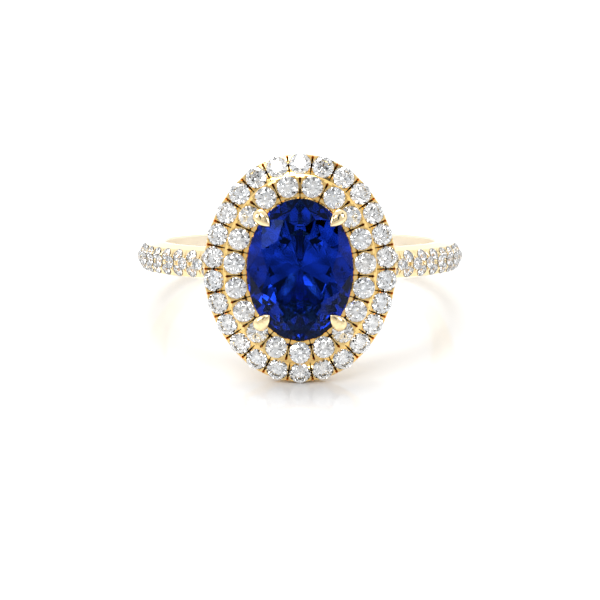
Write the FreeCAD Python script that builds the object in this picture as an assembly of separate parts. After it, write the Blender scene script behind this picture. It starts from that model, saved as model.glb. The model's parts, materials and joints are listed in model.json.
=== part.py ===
"""Oval sapphire ring with a stepped double halo and a three-row diamond band.

Each solid is drawn with the finger axis along Z and the head toward -Y.
The finished ring is then laid down the way it rests on a table: on the
lower lip of the halo and the back of the band.
"""
import FreeCAD
import Part
import math
import os

Vec = FreeCAD.Vector

# Band, all radii measured from the finger axis
finger_radius = 8.45
finger_chamfer = 0.07
band_half_width = 0.95
side_radius = 8.85
rail_radius = 9.66
rail_half_width = 0.78
crest_radius = 10.00
crest_half_width = 0.12
head_flat = 9.50

# Sapphire: an oval of 8 x 6 mm
sapphire_half_width = 3.0
sapphire_half_length = 4.0
sapphire_crown = 0.90
sapphire_girdle = 0.14
sapphire_pavilion = 2.45
sapphire_table = 0.60
outline_sides = 96

# Head: distance from the finger axis to the top of the inner halo step,
# and the height of the sapphire's girdle above that step
head_reach = 11.85
girdle_rise = 0.52

# Halo stones and steps, measured in the plane of the head
halo_stone_radius = 0.62
inner_count = 19
inner_half_width = 3.72
outer_count = 26
outer_half_width = 4.95
oval_excess = 1.02
oval_end_shift = 1.70
outer_drop = 0.50
outer_slope = 19.0
step_wall = 0.64
step_chamfer = 0.07
outer_wall = 0.52
lip_taper = 0.12
plate_bottom = 1.45
inner_bottom = 0.85
rim_inset = 0.84
rim_width = 0.20
rim_rise = 0.10
prong_height = 0.12
saw_half_width = 0.06

# Band stones
band_stone_radius = 0.38
stone_pitch = 6.9
first_stone = 26.8
stones_per_side = 10
setting_start = 24.0
setting_end = 92.5
pick_radius = 0.13

# Proportions of a round brilliant for a girdle radius of one
table_ratio = 0.57
crown_ratio = 0.30
girdle_ratio = 0.06
pavilion_ratio = 0.86
seat_gap = 0.012
stone_rise = 0.036
prong_lap = 0.93

# Claws and gallery
claw_wire = 0.27
claw_tip = 0.82
claw_back = 0.50
claw_half_width = 0.42
claw_flatness = 0.60
claw_lean = 21.0
base_ring_radius = 1.17
base_height = 9.66
base_wire = 0.30
rail_oval_half_width = 2.85
rail_height = 10.12
rail_wire = 0.27
strut_wire = 0.20


def ring(angle, radius, level):
    """A point of a unit stone at an angle, a radius and a level."""
    turn = math.radians(angle)
    return Vec(radius * math.cos(turn), radius * math.sin(turn), level)


def cut_stone(half_x, half_y, crown, girdle, pavilion, table):
    """A brilliant with 57 facets, girdle top at level zero, table up."""
    kite_slope = crown / (1.0 - table)
    star_radius = 0.5 * (1.0 + table * math.cos(math.radians(22.5)))
    star_level = (1.0 - star_radius * math.cos(math.radians(22.5))) * kite_slope
    lower_radius = 0.24
    fall = 1.0 - lower_radius * math.cos(math.radians(22.5))
    lower_level = -girdle - pavilion * fall
    tables = [ring(45 * k, table, crown) for k in range(8)]
    stars = [ring(45 * k + 22.5, star_radius, star_level) for k in range(8)]
    tops = [ring(22.5 * k, 1.0, 0.0) for k in range(16)]
    bottoms = [ring(22.5 * k, 1.0, -girdle) for k in range(16)]
    lowers = [ring(45 * k + 22.5, lower_radius, lower_level) for k in range(8)]
    culet = Vec(0, 0, -girdle - pavilion)
    faces = [tables]
    for k in range(8):
        after = (k + 1) % 8
        edge = 2 * k
        mid = (edge + 1) % 16
        end = (edge + 2) % 16
        faces.append([tables[k], tables[after], stars[k]])
        faces.append([tables[k], stars[k], tops[edge], stars[k - 1]])
        faces.append([stars[k], tops[edge], tops[mid]])
        faces.append([stars[k], tops[mid], tops[end]])
        faces.append([tops[edge], tops[mid], bottoms[mid], bottoms[edge]])
        faces.append([tops[mid], tops[end], bottoms[end], bottoms[mid]])
        faces.append([lowers[k], bottoms[edge], bottoms[mid]])
        faces.append([lowers[k], bottoms[mid], bottoms[end]])
        faces.append([culet, lowers[k - 1], bottoms[edge], lowers[k]])
    skins = []
    for corners in faces:
        points = [Vec(p.x * half_x, p.y * half_y, p.z) for p in corners]
        skins.append(Part.Face(Part.makePolygon(points + points[:1])))
    return Part.makeSolid(Part.makeShell(skins))


def round_stone(radius):
    """A round brilliant of a given girdle radius."""
    return cut_stone(
        radius, radius, crown_ratio * radius, girdle_ratio * radius,
        pavilion_ratio * radius, table_ratio)


def stone_seat(radius, through):
    """The pocket a round stone drops into, with a light hole behind it."""
    wide = radius + seat_gap
    girdle = girdle_ratio * radius + seat_gap
    depth = pavilion_ratio * radius + seat_gap
    rise = crown_ratio * radius
    hole = 0.42 * radius
    profile = [
        Vec(0, 0, rise + 0.5),
        Vec(prong_lap * radius, 0, rise + 0.5),
        Vec(prong_lap * radius, 0, rise),
        Vec(wide, 0, seat_gap),
        Vec(wide, 0, -girdle),
        Vec(hole, 0, -girdle - depth * (1.0 - hole / wide)),
        Vec(hole, 0, -through),
        Vec(0, 0, -through)]
    face = Part.Face(Part.makePolygon(profile + profile[:1]))
    return face.revolve(Vec(0, 0, 0), Vec(0, 0, 1), 360)


def outer_side(corners, heart):
    """A large block lying outside the plane through three corners."""
    normal = (corners[1] - corners[0]).cross(corners[2] - corners[0])
    if normal.dot(corners[0] - heart) < 0:
        normal = -normal
    block = Part.makeBox(20, 20, 20, Vec(-10, -10, 0))
    block.Placement = FreeCAD.Placement(corners[0], FreeCAD.Rotation(Vec(0, 0, 1), normal))
    return block


def oval_stone(half_x, half_y, crown, girdle, pavilion, table):
    """The same 57 facets ground on a blank whose outline is a smooth oval."""
    outline = [Vec(half_x * math.cos(k), half_y * math.sin(k), -girdle - pavilion - 0.1)
               for k in [2 * math.pi * n / outline_sides for n in range(outline_sides)]]
    face = Part.Face(Part.makePolygon(outline + outline[:1]))
    blank = face.extrude(Vec(0, 0, girdle + pavilion + crown + 0.2))
    heart = Vec(0, 0, -0.5 * girdle)
    faceted = cut_stone(half_x, half_y, crown, girdle, pavilion, table)
    for face in faceted.Faces:
        if abs(face.normalAt(0, 0).z) < 0.05:
            continue
        corners = [v.Point for v in face.OuterWire.OrderedVertexes]
        blank = blank.cut(outer_side(corners, heart))
    return blank


def oval_arcs(half_width):
    """The four tangent arcs of an oval: (centre, radius, start, sweep).

    Every oval of the head shares the same four centres, so each one is a
    true offset of the others. Arcs run anticlockwise from the right side.
    """
    excess = oval_excess
    end_shift = oval_end_shift
    side_shift = excess * (2 * end_shift - excess) / (2 * (end_shift - excess))
    joint = math.atan2(end_shift, side_shift)
    side_radius_here = half_width + side_shift
    end_radius = half_width + excess - end_shift
    wide = 2 * joint
    narrow = math.pi - 2 * joint
    return [
        (Vec(-side_shift, 0, 0), side_radius_here, -joint, wide),
        (Vec(0, end_shift, 0), end_radius, joint, narrow),
        (Vec(side_shift, 0, 0), side_radius_here, math.pi - joint, wide),
        (Vec(0, -end_shift, 0), end_radius, math.pi + joint, narrow)]


def oval_station(half_width, fraction):
    """Point and outward direction at a fraction of the way round, from the bottom."""
    arcs = oval_arcs(half_width)
    lengths = [radius * sweep for centre, radius, start, sweep in arcs]
    goal = (fraction % 1.0) * sum(lengths) - 0.5 * lengths[3]
    number = 3
    if goal < 0:
        goal = goal + lengths[3]
    else:
        number = 0
        while goal > lengths[number]:
            goal = goal - lengths[number]
            number = number + 1
    centre, radius, start, sweep = arcs[number]
    turn = start + goal / radius
    out = Vec(math.cos(turn), math.sin(turn), 0)
    return centre + out * radius, out


def oval_stations(half_width, count, offset):
    """Evenly spaced stations, offset counted in steps from the bottom."""
    return [oval_station(half_width, (k + offset) / count) for k in range(count)]


def stand_on(point, out, slope):
    """Placement of a stone or prong: Z leans outward by the slope angle."""
    lean = math.radians(slope)
    up = Vec(0, 0, 1) * math.cos(lean) + out * math.sin(lean)
    side = Vec(0, 0, 1).cross(out)
    along = side.cross(up)
    return FreeCAD.Placement(point, FreeCAD.Rotation(along, side, up, "ZXY"))


def oval_turned(half_width, outline):
    """A solid ring with an outline of (outward offset, level) turned round the oval."""
    pieces = []
    for centre, radius, start, sweep in oval_arcs(half_width):
        out = Vec(math.cos(start), math.sin(start), 0)
        points = [centre + out * (radius + d) + Vec(0, 0, level) for d, level in outline]
        face = Part.Face(Part.makePolygon(points + points[:1]))
        pieces.append(face.revolve(centre, Vec(0, 0, 1), math.degrees(sweep)))
    return pieces[0].fuse(pieces[1:]).removeSplitter()


def wedge(profile, half_width):
    """A block with a profile of (outward, up), as wide each way as given."""
    points = [Vec(x, -half_width, z) for x, z in profile]
    face = Part.Face(Part.makePolygon(points + points[:1]))
    return face.extrude(Vec(0, 2 * half_width, 0))


def saw_cut():
    """The V-shaped cut that splits a pair of prongs, with a graver's pick mark."""
    top = prong_height + 0.01
    deep = -0.12
    v_shape = [Vec(-0.90, -saw_half_width, top), Vec(-0.90, saw_half_width, top),
               Vec(-0.90, 0, deep)]
    cut = Part.Face(Part.makePolygon(v_shape + v_shape[:1])).extrude(Vec(1.35, 0, 0))
    rim = [Vec(0.18, 0, top), Vec(0.38, -0.09, top), Vec(0.58, 0, top), Vec(0.38, 0.09, top)]
    low = Vec(0.38, 0, -0.14)
    faces = [Part.Face(Part.makePolygon(rim + rim[:1]))]
    for k in range(4):
        corners = [rim[k], rim[(k + 1) % 4], low]
        faces.append(Part.Face(Part.makePolygon(corners + corners[:1])))
    return [cut, Part.makeSolid(Part.makeShell(faces))]


def placed(shape, placement):
    """A copy of a shape moved to a placement."""
    copy = shape.copy()
    copy.Placement = placement.multiply(copy.Placement)
    return copy


def inner_stone_places():
    """Where the inner halo stones stand."""
    return [stand_on(p + Vec(0, 0, stone_rise), out, 0.0) for p, out in
            oval_stations(inner_half_width, inner_count, 0.0)]


def outer_stone_places():
    """Where the outer halo stones stand, leaning outward."""
    drop = Vec(0, 0, stone_rise - outer_drop)
    return [stand_on(p + drop, out, outer_slope) for p, out in
            oval_stations(outer_half_width, outer_count, 0.0)]


def split_prongs(stations, level, slope, far_end):
    """Prong pairs at both ends of every gap and the cuts that split them."""
    top = prong_height
    near = wedge([(-0.47, 0.0), (-0.33, top), (-0.17, top), (-0.17, -0.15), (-0.47, -0.15)], 0.25)
    far = wedge([(0.17, top), (far_end - 0.10, top), (far_end, 0.0), (far_end, -0.15),
                 (0.17, -0.15)], 0.24)
    blocks = []
    cuts = []
    for point, out in stations:
        place = stand_on(point + Vec(0, 0, level), out, slope)
        blocks = blocks + [placed(near, place), placed(far, place)]
        cuts = cuts + [placed(tool, place) for tool in saw_cut()]
    return blocks, cuts


def inner_plate(claws):
    """Inner halo step: oval band, raised rim, prongs, seats and claw notches."""
    inner = -rim_inset
    body = oval_turned(inner_half_width, [
        (step_wall, -inner_bottom),
        (step_wall, -step_chamfer),
        (step_wall - step_chamfer, 0.0),
        (inner + rim_width, 0.0),
        (inner + rim_width - 0.07, rim_rise),
        (inner, rim_rise),
        (inner, -0.1),
        (inner - 0.2, -inner_bottom)])
    stations = oval_stations(inner_half_width, inner_count, 0.5)
    blocks, cuts = split_prongs(stations, 0.0, 0.0, 0.57)
    seat = stone_seat(halo_stone_radius, 1.6)
    seats = [placed(seat, place) for place in inner_stone_places()]
    return body.fuse(blocks).cut(seats + cuts + claws)


def outer_plate():
    """Outer halo step: a sloping oval band with its own prongs and seats."""
    tangent = math.tan(math.radians(outer_slope))
    reach = outer_half_width - inner_half_width - step_wall
    body = oval_turned(outer_half_width, [
        (-reach, -plate_bottom),
        (outer_wall - lip_taper, -plate_bottom),
        (outer_wall, -outer_drop - outer_wall * tangent),
        (-reach, -outer_drop + reach * tangent)])
    stations = oval_stations(outer_half_width, outer_count, 0.5)
    blocks, cuts = split_prongs(stations, -outer_drop, outer_slope, 0.55)
    seat = stone_seat(halo_stone_radius, 1.6)
    seats = [placed(seat, place) for place in outer_stone_places()]
    return body.fuse(blocks).cut(seats + cuts)


def sapphire():
    """The oval centre stone in the head frame."""
    stone = oval_stone(
        sapphire_half_width, sapphire_half_length, sapphire_crown,
        sapphire_girdle, sapphire_pavilion, sapphire_table)
    stone.translate(Vec(0, 0, girdle_rise))
    return stone


def rod(start, end, radius):
    """A straight round wire between two points with rounded ends."""
    along = end - start
    wire = Part.makeCylinder(radius, along.Length, start, along)
    return wire.fuse([Part.makeSphere(radius, start), Part.makeSphere(radius, end)])


def claw_leaf():
    """The teardrop tip: pointed toward the stone, round outside, a little flat."""
    wide = claw_half_width
    shift = claw_back - wide
    point = Vec(shift - claw_tip, 0, 0)
    top = Vec(shift, wide, 0)
    end = Vec(shift + wide, 0, 0)
    ball = (claw_tip ** 2 + wide ** 2) / (2.0 * wide)
    half_turn = 0.5 * math.asin(claw_tip / ball)
    middle = Vec(shift - ball * math.sin(half_turn), wide - ball * (1 - math.cos(half_turn)), 0)
    flank = Part.Arc(point, middle, top).toShape()
    back = Part.Arc(top, Vec(shift, 0, 0) + Vec(wide, wide, 0) * math.sqrt(0.5), end).toShape()
    outline = Part.Wire([flank, back, Part.makeLine(end, point)])
    leaf = Part.Face(outline).revolve(Vec(0, 0, 0), Vec(1, 0, 0), 360)
    squash = FreeCAD.Matrix()
    squash.scale(1.0, 1.0, claw_flatness)
    return leaf.transformGeometry(squash)


def below_flat():
    """The room below the flat on the band that the head stands on."""
    return Part.makeBox(8, 8, 4, Vec(-4, -4, head_flat - head_reach - 4))


def claw():
    """One claw in the head frame, the upper right one."""
    diagonal = Vec(0.70, 0.714, 0)
    foot = Vec(0.95, 0.68, base_height - head_reach)
    waist = Vec(1.85, 2.52, -0.15)
    neck = Vec(2.26, 3.04, 0.46)
    place = stand_on(Vec(2.19, 2.99, 0.69), diagonal, claw_lean)
    leaf = placed(claw_leaf(), place)
    wire = rod(foot, waist, claw_wire).fuse([rod(waist, neck, claw_wire)])
    room = oval_stone(
        sapphire_half_width + 0.015, sapphire_half_length + 0.015, sapphire_crown + 0.01,
        sapphire_girdle + 0.02, sapphire_pavilion + 0.02, sapphire_table)
    room.translate(Vec(0, 0, girdle_rise + 0.01))
    return wire.fuse([leaf]).cut([room, below_flat()]).removeSplitter()


def four_claws():
    """The claw and its mirror images, clockwise from the upper right."""
    first = claw()
    second = first.mirror(Vec(0, 0, 0), Vec(0, 1, 0))
    third = second.mirror(Vec(0, 0, 0), Vec(1, 0, 0))
    fourth = first.mirror(Vec(0, 0, 0), Vec(1, 0, 0))
    room = round_stone(halo_stone_radius + seat_gap)
    rooms = [placed(room, place) for place in inner_stone_places()]
    return [wire.cut(rooms) for wire in (first, second, third, fourth)]


def oval_tube(half_width, level, radius):
    """A round wire bent into a closed oval."""
    pieces = []
    for centre, arc_radius, start, sweep in oval_arcs(half_width):
        out = Vec(math.cos(start), math.sin(start), 0)
        along = Vec(-out.y, out.x, 0)
        middle = centre + out * arc_radius + Vec(0, 0, level)
        face = Part.Face(Part.Wire([Part.Circle(middle, along, radius).toShape()]))
        pieces.append(face.revolve(centre, Vec(0, 0, 1), math.degrees(sweep)))
    return pieces[0].fuse(pieces[1:])


def gallery(claws):
    """Base ring, gallery rail and struts that carry the head."""
    base_level = base_height - head_reach
    rail_level = rail_height - head_reach
    pieces = [oval_tube(rail_oval_half_width, rail_level, rail_wire)]
    for quarter in range(4):
        mid, out = oval_station(rail_oval_half_width, 0.25 * quarter)
        low = out * base_ring_radius + Vec(0, 0, base_level)
        pieces.append(rod(low, mid + Vec(0, 0, rail_level), strut_wire))
    for number in range(8):
        fraction = 0.0625 + 0.125 * number
        mid, out = oval_station(rail_oval_half_width, fraction)
        top, out = oval_station(outer_half_width - 0.2, fraction)
        pieces.append(rod(
            mid + Vec(0, 0, rail_level), top + Vec(0, 0, -plate_bottom), strut_wire))
    base = Part.makeTorus(base_ring_radius, base_wire, Vec(0, 0, base_level), Vec(0, 0, 1))
    ceiling = Part.makeBox(16, 16, 3, Vec(-8, -8, -plate_bottom))
    return base.fuse(pieces).cut([below_flat(), ceiling] + claws)


def band_blank():
    """The plain band: a domed profile turned about the finger axis."""
    corners = [
        Vec(rail_radius, 0, -rail_half_width),
        Vec(side_radius, 0, -band_half_width),
        Vec(finger_radius + finger_chamfer, 0, -band_half_width),
        Vec(finger_radius, 0, -band_half_width + finger_chamfer),
        Vec(finger_radius, 0, band_half_width - finger_chamfer),
        Vec(finger_radius + finger_chamfer, 0, band_half_width),
        Vec(side_radius, 0, band_half_width),
        Vec(rail_radius, 0, rail_half_width)]
    dome = Part.Arc(corners[-1], Vec(crest_radius, 0, 0), corners[0]).toShape()
    outline = Part.Wire(Part.makePolygon(corners).Edges + [dome])
    return Part.Face(outline).revolve(Vec(0, 0, 0), Vec(0, 0, 1), 360)


def turned_between(profile, start, sweep):
    """A profile turned from one head angle over a sweep, on the right side."""
    face = Part.Face(Part.makePolygon(profile + profile[:1]))
    body = face.revolve(Vec(0, 0, 0), Vec(0, 0, 1), sweep)
    body.rotate(Vec(0, 0, 0), Vec(0, 0, 1), start - 90)
    return body


def bevel_cutters():
    """The two sloping faces the side rows are set in, one pair per side."""
    cutters = []
    for side in (1, -1):
        profile = [
            Vec(rail_radius, 0, side * rail_half_width),
            Vec(crest_radius, 0, side * crest_half_width),
            Vec(crest_radius + 0.5, 0, side * crest_half_width),
            Vec(crest_radius + 0.5, 0, side * rail_half_width)]
        body = turned_between(profile, setting_start, setting_end - setting_start)
        cutters.append(body)
        cutters.append(body.mirror(Vec(0, 0, 0), Vec(1, 0, 0)))
    return cutters


def on_band(angle, radius, level, slope, hand):
    """Placement on the band at an angle from the head, leaning by a slope."""
    turn = math.radians(angle)
    out = Vec(hand * math.sin(turn), -math.cos(turn), 0)
    lean = math.radians(slope)
    up = out * math.cos(lean) + Vec(0, 0, 1) * math.sin(lean)
    side = Vec(0, 0, 1).cross(out)
    along = side.cross(up)
    point = out * radius + Vec(0, 0, level)
    return FreeCAD.Placement(point, FreeCAD.Rotation(along, side, up, "ZXY"))


def facet_lean():
    """How far the side rows lean away from the crest."""
    return math.atan2(crest_radius - rail_radius, rail_half_width - crest_half_width)


def band_row(row, hand):
    """Placements of one row of band stones: upper, crest or lower."""
    if row == "crest":
        radius = crest_radius + stone_rise
        angles = [first_stone + stone_pitch * (k + 0.5) for k in range(stones_per_side - 1)]
        return [on_band(a, radius, 0.0, 0.0, hand) for a in angles]
    side = 1 if row == "upper" else -1
    lean = facet_lean()
    radius = 0.5 * (rail_radius + crest_radius) + stone_rise * math.cos(lean)
    level = side * (0.5 * (rail_half_width + crest_half_width) + stone_rise * math.sin(lean))
    slope = side * math.degrees(lean)
    angles = [first_stone + stone_pitch * k for k in range(stones_per_side)]
    return [on_band(a, radius, level, slope, hand) for a in angles]


def band_prongs(hand):
    """Fin-shaped prongs between neighbouring side stones, wide at the rail."""
    lean = facet_lean()
    slope = math.degrees(lean)
    prongs = []
    for side in (1, -1):
        for k in range(stones_per_side - 1):
            angle = first_stone + stone_pitch * (k + 0.5)
            tip = on_band(angle, 9.87, side * 0.36, side * slope, hand)
            heel = on_band(angle, 9.61, side * 0.66, side * slope, hand)
            prongs.append(Part.makeSphere(0.10, tip.Base))
            along = heel.Base - tip.Base
            prongs.append(Part.makeCone(0.10, 0.13, along.Length, tip.Base, along))
    return prongs


def pick_marks(hand):
    """Small pits a graver leaves along the crest between the stones."""
    marks = []
    for k in range(1, stones_per_side - 1):
        place = on_band(first_stone + stone_pitch * k, crest_radius + 0.02, 0.0, 0.0, hand)
        pit = Part.makeCone(pick_radius, 0.0, 0.20, Vec(0, 0, 0), Vec(0, 0, -1))
        marks.append(placed(pit, place))
    return marks


def band():
    """The finished band: blank, bevels, prongs, seats and the head flat."""
    body = band_blank().cut(bevel_cutters())
    prongs = band_prongs(1) + band_prongs(-1)
    body = body.fuse(prongs)
    seat = stone_seat(band_stone_radius, 0.50)
    for hand in (1, -1):
        for row in ("upper", "crest", "lower"):
            body = body.cut([placed(seat, place) for place in band_row(row, hand)])
        body = body.cut(pick_marks(hand))
    return body.cut(Part.makeBox(12, 4, 4, Vec(-6, -head_flat - 4, -2)))


def band_stones(row, hand):
    """One row of band stones as a group of loose solids."""
    stone = round_stone(band_stone_radius)
    return Part.makeCompound([placed(stone, place) for place in band_row(row, hand)])


def rest_tilt():
    """Angle the ring leans by when halo lip and band back touch the table."""
    halo_v = outer_half_width + oval_excess + outer_wall - lip_taper
    halo_u = head_reach - plate_bottom
    rise = halo_v - rail_half_width
    return math.degrees(math.atan2(rise, halo_u + rail_radius))


def build():
    """All pieces by name, in the frame the ring is drawn in."""
    head = FreeCAD.Placement(
        Vec(0, -head_reach, 0), FreeCAD.Rotation(Vec(1, 0, 0), 90))
    claws = four_claws()
    pieces = {"sapphire": sapphire()}
    for number, shape in enumerate(claws):
        pieces["claw_%d" % (number + 1)] = shape
    pieces["inner_halo_plate"] = inner_plate(claws)
    pieces["outer_halo_plate"] = outer_plate()
    pieces["gallery"] = gallery(claws)
    stone = round_stone(halo_stone_radius)
    for number, place in enumerate(inner_stone_places()):
        pieces["inner_halo_stone_%02d" % (number + 1)] = placed(stone, place)
    for number, place in enumerate(outer_stone_places()):
        pieces["outer_halo_stone_%02d" % (number + 1)] = placed(stone, place)
    for name in pieces:
        pieces[name] = placed(pieces[name], head)
    pieces["band"] = band()
    for row in ("upper", "crest", "lower"):
        pieces["band_stones_right_" + row] = band_stones(row, 1)
        pieces["band_stones_left_" + row] = band_stones(row, -1)
    return pieces


def lay_down(pieces):
    """Turn the ring into its rest position, touching the table at Z = 0."""
    tilt = FreeCAD.Rotation(Vec(1, 0, 0), -rest_tilt())
    laid = {}
    box = FreeCAD.BoundBox()
    for name, shape in pieces.items():
        laid[name] = placed(shape, FreeCAD.Placement(Vec(0, 0, 0), tilt))
        box.add(laid[name].optimalBoundingBox(False, False))
    shift = Vec(-box.Center.x, -box.Center.y, -box.ZMin)
    for name in laid:
        laid[name].translate(shift)
    return laid, shift


parts, moved = lay_down(build())
os.makedirs("parts", exist_ok=True)
for part_name, part_shape in parts.items():
    part_shape.exportStep("parts/" + part_name + ".step")
print("pieces:", len(parts), "tilt:", round(rest_tilt(), 3), "finger centre:", moved)
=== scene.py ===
# %% [markdown]
# # A sapphire ring lying on a white table
# The ring is already built as metal and stones. This lesson gives it its
# finishes (polished gold, cut diamond, deep blue sapphire), lays it on a glossy
# white table and lights it with soft white panels.

# %% Load the ring
import json
import math
import bpy
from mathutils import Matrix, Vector


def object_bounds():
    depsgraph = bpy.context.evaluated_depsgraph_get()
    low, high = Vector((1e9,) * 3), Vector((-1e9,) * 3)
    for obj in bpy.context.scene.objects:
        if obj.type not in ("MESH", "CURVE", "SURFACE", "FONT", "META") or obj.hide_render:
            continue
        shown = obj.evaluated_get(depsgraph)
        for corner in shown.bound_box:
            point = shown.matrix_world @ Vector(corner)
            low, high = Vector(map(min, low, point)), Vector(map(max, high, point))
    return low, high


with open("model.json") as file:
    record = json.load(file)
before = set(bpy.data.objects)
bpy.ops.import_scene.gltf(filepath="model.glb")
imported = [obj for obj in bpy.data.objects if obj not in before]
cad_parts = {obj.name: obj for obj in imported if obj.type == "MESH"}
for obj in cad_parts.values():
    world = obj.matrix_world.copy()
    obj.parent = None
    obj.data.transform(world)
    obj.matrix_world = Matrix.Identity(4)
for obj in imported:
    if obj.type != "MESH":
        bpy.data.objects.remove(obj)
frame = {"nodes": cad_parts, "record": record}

cad_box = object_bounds()
print("ring box in mm:", [[round(1000 * v, 2) for v in corner] for corner in cad_box])

# %% [markdown]
# ## A bench for shader nodes
# A finish is a little network of nodes. Wiring it by hand takes many lines, so
# two small classes do it: `Wire` is one value on its way through the network
# and understands Python's arithmetic, and `Bench` adds any other node.


# %% Wire and Bench
class Wire:
    """A number travelling through a node network."""

    def __init__(self, bench, socket):
        self.bench = bench
        self.socket = socket

    def maths(self, operation, first, second, clamp=False):
        inputs = {0: first, 1: second}
        settings = {"operation": operation, "use_clamp": clamp}
        return self.bench.node("ShaderNodeMath", settings, inputs)

    def __add__(self, other):
        return self.maths("ADD", self, other)

    def __radd__(self, other):
        return self.maths("ADD", other, self)

    def __sub__(self, other):
        return self.maths("SUBTRACT", self, other)

    def __rsub__(self, other):
        return self.maths("SUBTRACT", other, self)

    def __mul__(self, other):
        return self.maths("MULTIPLY", self, other)

    def __rmul__(self, other):
        return self.maths("MULTIPLY", other, self)

    def __truediv__(self, other):
        return self.maths("DIVIDE", self, other)

    def clamp(self):
        return self.maths("ADD", self, 0.0, True)


class Bench:
    """Adds nodes to one material or world."""

    def __init__(self, owner):
        owner.use_nodes = True
        self.tree = owner.node_tree
        self.tree.nodes.clear()

    def node(self, kind, settings=None, inputs=None, output=0):
        made = self.tree.nodes.new(kind)
        for name, value in (settings or {}).items():
            if name == "stops":
                self.set_stops(made.color_ramp, value)
            else:
                setattr(made, name, value)
        for name, value in (inputs or {}).items():
            if isinstance(value, Wire):
                self.tree.links.new(value.socket, made.inputs[name])
            else:
                made.inputs[name].default_value = value
        return Wire(self, made.outputs[output]) if len(made.outputs) else made

    def set_stops(self, ramp, stops):
        while len(ramp.elements) < len(stops):
            ramp.elements.new(1.0)
        for element, (position, colour) in zip(ramp.elements, stops):
            element.position = position
            element.color = (*colour, 1.0)

    def place_in_mm(self):
        """Where a point of the ring is, in millimetres."""
        place = self.node("ShaderNodeTexCoord", output="Object")
        settings = {"operation": "SCALE"}
        return self.node("ShaderNodeVectorMath", settings, {0: place, "Scale": 1000.0})

    def finish(self, shader):
        self.node("ShaderNodeOutputMaterial", inputs={"Surface": shader})


# %% [markdown]
# ## Polished yellow gold
# Gold has no paint: its colour is the colour of its reflections. So the finish
# is fully metallic, and almost mirror smooth. A real ring is polished on a felt
# wheel, which leaves very fine, slightly uneven gloss and a few hairlines. Two
# noises carry that: a broad one varies the gloss and the depth of the yellow,
# and a fine one ripples the surface by a few thousandths of a millimetre.
# The wall that touches the finger is rubbed to a softer satin, and is also painted a paler gold:
# painted light standing in for the light bouncing inside the band.
# Claws and band are buffed to the highest gloss. The metal between the halo stones gets a second,
# darker and deeper yellow copy of the gold, which is painted shade between the stones, so gold
# comes in two shades.

# %% Gold
BRIGHT_GOLD = ((0.98, 0.76, 0.42), (1.0, 0.82, 0.50))
# darker copy of the same gold for the halo plates: painted shade between the halo stones
SHADE_PAINTED_GOLD = ((0.92, 0.60, 0.20), (0.97, 0.70, 0.30))
# paler gold painted onto the inside wall: painted light, not a colour of the metal
PAINTED_PALE_INSIDE_GOLD = (1.0, 0.93, 0.80)
FINGER_CENTRE = (0.0, 1.8776, 3.3445)
FINGER_AXIS = (0.0, 0.26843, 0.96330)
FINGER_WALL = 8.49
WALL_EDGE = 0.02
GLOSS_DRIFT = 0.10
SATIN = 0.28
RIPPLE_METRES = 0.000004


def inside_wall(bench, place):
    """One on the wall that touches the finger, zero on the rest of the ring."""
    from_centre = bench.node(
        "ShaderNodeVectorMath", {"operation": "SUBTRACT"}, {0: place, 1: FINGER_CENTRE})
    turned = bench.node(
        "ShaderNodeVectorMath", {"operation": "CROSS_PRODUCT"}, {0: from_centre, 1: FINGER_AXIS})
    radius = bench.node("ShaderNodeVectorMath", {"operation": "LENGTH"}, {0: turned}, "Value")
    return ((FINGER_WALL - radius) / WALL_EDGE).clamp()


def polished_gold(name, gloss, shades):
    gold = bpy.data.materials.new(name)
    bench = Bench(gold)
    place = bench.place_in_mm()
    broad = bench.node("ShaderNodeTexNoise", inputs={"Vector": place, "Scale": 0.8, "Detail": 3.0})
    fine = bench.node("ShaderNodeTexNoise", inputs={"Vector": place, "Scale": 9.0, "Detail": 4.0})
    colour = bench.node(
        "ShaderNodeValToRGB", {"stops": [(0.3, shades[0]), (0.7, shades[1])]}, {"Fac": broad})
    inside = inside_wall(bench, place)
    # the inside wall gets the paler gold as painted light; its satin roughness is real
    colour = bench.node(
        "ShaderNodeMix", {"data_type": "RGBA"}, {0: inside, 6: colour, 7: (*PAINTED_PALE_INSIDE_GOLD, 1.0)}, 2)
    ripple = bench.node(
        "ShaderNodeBump", inputs={"Strength": 0.25, "Distance": RIPPLE_METRES, "Height": fine})
    bench.finish(bench.node("ShaderNodeBsdfPrincipled", inputs={
        "Base Color": colour, "Metallic": 1.0,
        "Roughness": gloss + GLOSS_DRIFT * broad * fine + SATIN * inside, "Normal": ripple}))
    return gold


# %% [markdown]
# ## Diamond
# A diamond is clear, and bends light more than any other stone: its index of
# refraction is 2.42. Nearly all its looks come from that number and from the
# flat facets. Natural stones differ by a breath of colour, so a soft noise
# drifts each one between pure white and a trace of blue or straw.

# %% Diamond
DIAMOND_WHITE = (1.0, 1.0, 1.0)
DIAMOND_BLUE = (0.90, 0.95, 1.0)
DIAMOND_STRAW = (1.0, 0.985, 0.95)


def cut_diamond(name):
    diamond = bpy.data.materials.new(name)
    bench = Bench(diamond)
    place = bench.place_in_mm()
    drift = bench.node("ShaderNodeTexNoise", inputs={"Vector": place, "Scale": 1.3, "Detail": 2.0})
    stops = [(0.35, DIAMOND_BLUE), (0.5, DIAMOND_WHITE), (0.68, DIAMOND_STRAW)]
    colour = bench.node("ShaderNodeValToRGB", {"stops": stops}, {"Fac": drift})
    bench.finish(bench.node("ShaderNodeBsdfPrincipled", inputs={
        "Base Color": colour, "Roughness": 0.0, "IOR": 2.42, "Transmission Weight": 1.0}))
    return diamond


# %% [markdown]
# ## Sapphire
# A fine blue sapphire is nearly black where light does not come back, and a
# strong royal blue where it does. The stone is clear with an index of 1.77, and
# tints the light as it enters and leaves. Natural sapphire grows in straight
# zones, so faint bands of a lighter blue cross the stone. White glare on the
# stone's flat top would hide the blue. In a studio a polarising filter takes it
# away; here the mirror reflection is tinted a dark blue instead.

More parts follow.
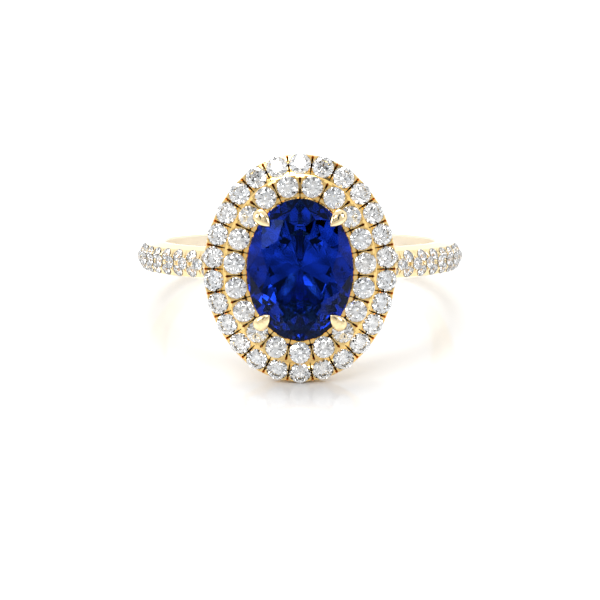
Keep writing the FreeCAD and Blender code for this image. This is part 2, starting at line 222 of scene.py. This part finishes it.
# %% Sapphire
SAPPHIRE_NAVY = (0.001, 0.008, 0.13)
SAPPHIRE_ROYAL = (0.003, 0.022, 0.36)
SAPPHIRE_GLARE = (0.02, 0.06, 0.30)


def blue_sapphire(name):
    sapphire = bpy.data.materials.new(name)
    bench = Bench(sapphire)
    place = bench.place_in_mm()
    zones = bench.node(
        "ShaderNodeTexWave", {"bands_direction": "DIAGONAL"},
        {"Vector": place, "Scale": 0.35, "Distortion": 2.0, "Detail": 2.0}, "Fac")
    stops = [(0.2, SAPPHIRE_NAVY), (0.9, SAPPHIRE_ROYAL)]
    colour = bench.node("ShaderNodeValToRGB", {"stops": stops}, {"Fac": zones})
    bench.finish(bench.node("ShaderNodeBsdfPrincipled", inputs={
        "Base Color": colour, "Roughness": 0.0, "IOR": 1.77, "Transmission Weight": 1.0,
        "Specular Tint": (*SAPPHIRE_GLARE, 1.0)}))
    return sapphire


# %% [markdown]
# ## Which piece gets which finish
# Every piece carries the name of its material in the record: gold, diamond or sapphire. One loop
# hands the finishes out by that name, and gives the two halo plates the darker gold copy, which is
# painted shade between the halo stones.

# %% Hand the finishes to the pieces
finishes = {
    "yellow_gold": polished_gold("bright_yellow_gold", 0.06, BRIGHT_GOLD),
    "halo_gold": polished_gold("shade_painted_yellow_gold", 0.10, SHADE_PAINTED_GOLD),
    "diamond": cut_diamond("cut_diamond"),
    "sapphire_blue": blue_sapphire("blue_sapphire")}
slots = {part["node"]: part["material_slot"] for part in frame["record"]["subparts"]}
for name, piece in frame["nodes"].items():
    # halo plates take the darker gold copy, which is painted shade
    finish = "halo_gold" if name.endswith("halo_plate") else slots[name]
    piece.data.materials.clear()
    piece.data.materials.append(finishes[finish])
print("pieces with a finish:", len(frame["nodes"]))

# %% [markdown]
# ## The table
# A sheet of glossy white acrylic: bright from its own colour, with a faint
# mirror image of the ring on top.

# %% Table
TABLE_HALF = 1.5
TABLE_WHITE = 0.84
TABLE_GAP = 0.00001
corners = [(-TABLE_HALF, -TABLE_HALF, 0), (TABLE_HALF, -TABLE_HALF, 0),
           (TABLE_HALF, TABLE_HALF, 0), (-TABLE_HALF, TABLE_HALF, 0)]
sheet = bpy.data.meshes.new("white_table")
sheet.from_pydata(corners, [], [(0, 1, 2, 3)])
table = bpy.data.objects.new("white_table", sheet)
bpy.context.scene.collection.objects.link(table)
table.location.z = cad_box[0][2] - TABLE_GAP
acrylic = bpy.data.materials.new("white_acrylic")
bench = Bench(acrylic)
speck = bench.node("ShaderNodeTexNoise", inputs={
    "Vector": bench.place_in_mm(), "Scale": 0.05, "Detail": 2.0})
bench.finish(bench.node("ShaderNodeBsdfPrincipled", inputs={
    "Base Color": (TABLE_WHITE, TABLE_WHITE, TABLE_WHITE, 1.0),
    "Roughness": 0.03 + 0.03 * speck, "IOR": 1.5}))
sheet.materials.append(acrylic)
print("table height in mm:", round(1000 * table.location.z, 3))

# %% [markdown]
# ## The room
# Polished gold and cut stones only look real when they have something to
# mirror. The room is white, a little brighter behind the ring so that its
# edges glow, and dimmer in front so that the gold facing the camera keeps its
# depth. A few narrow black flags stand in front: the dark facets of a diamond
# are their reflections.

# %% Room
ROOM_WHITE = (1.0, 1.0, 1.0)
ROOM_BLACK = (0.01, 0.01, 0.012)
# each flag: azimuth from the front in degrees, then the edges of its height as sines
FLAGS = [(-9, 9, 0.25, 0.50), (14, 27, 0.30, 0.80), (56, 84, 0.22, 0.85),
         (-34, -23, 0.26, 0.80), (-80, -60, 0.22, 0.85), (-10, 6, 0.60, 0.76)]
BACK_WALL = 1.2
FRONT_WALL = 0.76
SIDE_EDGE = 0.04
TOP_EDGE = 0.03


def between(value, low, high, soft):
    """One inside a range and zero outside it, with soft edges."""
    return ((value - low) / soft).clamp() * ((high - value) / soft).clamp()


def studio_room():
    world = bpy.data.worlds.new("studio_room")
    bpy.context.scene.world = world
    bench = Bench(world)
    way = bench.node("ShaderNodeTexCoord", output="Generated")
    x, y, height = [
        bench.node("ShaderNodeSeparateXYZ", inputs={0: way}, output=k) for k in range(3)]
    azimuth = bench.node("ShaderNodeMath", {"operation": "ARCTAN2"}, {0: x, 1: -1.0 * y})
    dark = 0.0
    for left, right, low, high in FLAGS:
        across = between(azimuth, math.radians(left), math.radians(right), SIDE_EDGE)
        dark = dark + across * between(height, low, high, TOP_EDGE)
    colour = bench.node("ShaderNodeMix", {"data_type": "RGBA"}, {
        0: dark, 6: (*ROOM_WHITE, 1.0), 7: (*ROOM_BLACK, 1.0)}, 2)
    behind = (y / 0.3).clamp()
    ahead = ((-0.2 - y) / 0.4).clamp()
    strength = 1.0 + (BACK_WALL - 1.0) * behind - (1.0 - FRONT_WALL) * ahead
    back = bench.node("ShaderNodeBackground", inputs={"Color": colour, "Strength": strength})
    bench.node("ShaderNodeOutputWorld", inputs={"Surface": back})


studio_room()
print("black flags in the room:", len(FLAGS))

# %% [markdown]
# ## Softboxes
# Each softbox is a white panel. Its power is worked out from its area, so that
# a brightness means the same thing on a panel of any size.


# %% Lights
def softbox(name, stand, width, height, brightness):
    lamp = bpy.data.lights.new(name, "AREA")
    lamp.shape = "RECTANGLE"
    lamp.size = width
    lamp.size_y = height
    lamp.energy = brightness * math.pi * width * height
    panel = bpy.data.objects.new(name, lamp)
    panel.location = stand
    panel.rotation_euler = (-Vector(stand)).to_track_quat("-Z", "Y").to_euler()
    bpy.context.scene.collection.objects.link(panel)
    print(name, "power in watts:", round(lamp.energy, 3))


softbox("top_softbox", (-0.04, 0.12, 0.35), 0.26, 0.18, 4.6)
softbox("left_softbox", (-0.30, -0.16, 0.20), 0.10, 0.20, 6.0)
softbox("right_softbox", (0.30, -0.20, 0.22), 0.10, 0.18, 6.0)
softbox("front_softbox", (-0.06, -0.26, 0.32), 0.12, 0.08, 6.0)

# %% [markdown]
# ## The camera
# A long lens looks at the head from about a hand's width away, a little more
# than twenty degrees above the table.

# %% Camera
SENSOR_MM = 36.0
FRAME_WIDTH = 600.0
CAMERA_PLACE = (0.0, -0.106705, 0.041929)
CAMERA_PITCH = 20.974
LENS_REACH = 1829.0
camera_data = bpy.data.cameras.new("camera")
camera_data.sensor_width = SENSOR_MM
camera_data.lens = SENSOR_MM * LENS_REACH / FRAME_WIDTH
camera_data.clip_start = 0.001
camera_data.clip_end = 20.0
camera = bpy.data.objects.new("camera", camera_data)
camera.location = CAMERA_PLACE
camera.rotation_euler = (math.radians(90.0 - CAMERA_PITCH), 0.0, 0.0)
bpy.context.scene.collection.objects.link(camera)
bpy.context.scene.camera = camera
bpy.context.scene.view_settings.view_transform = "Standard"
print("lens in mm:", round(camera_data.lens, 2))
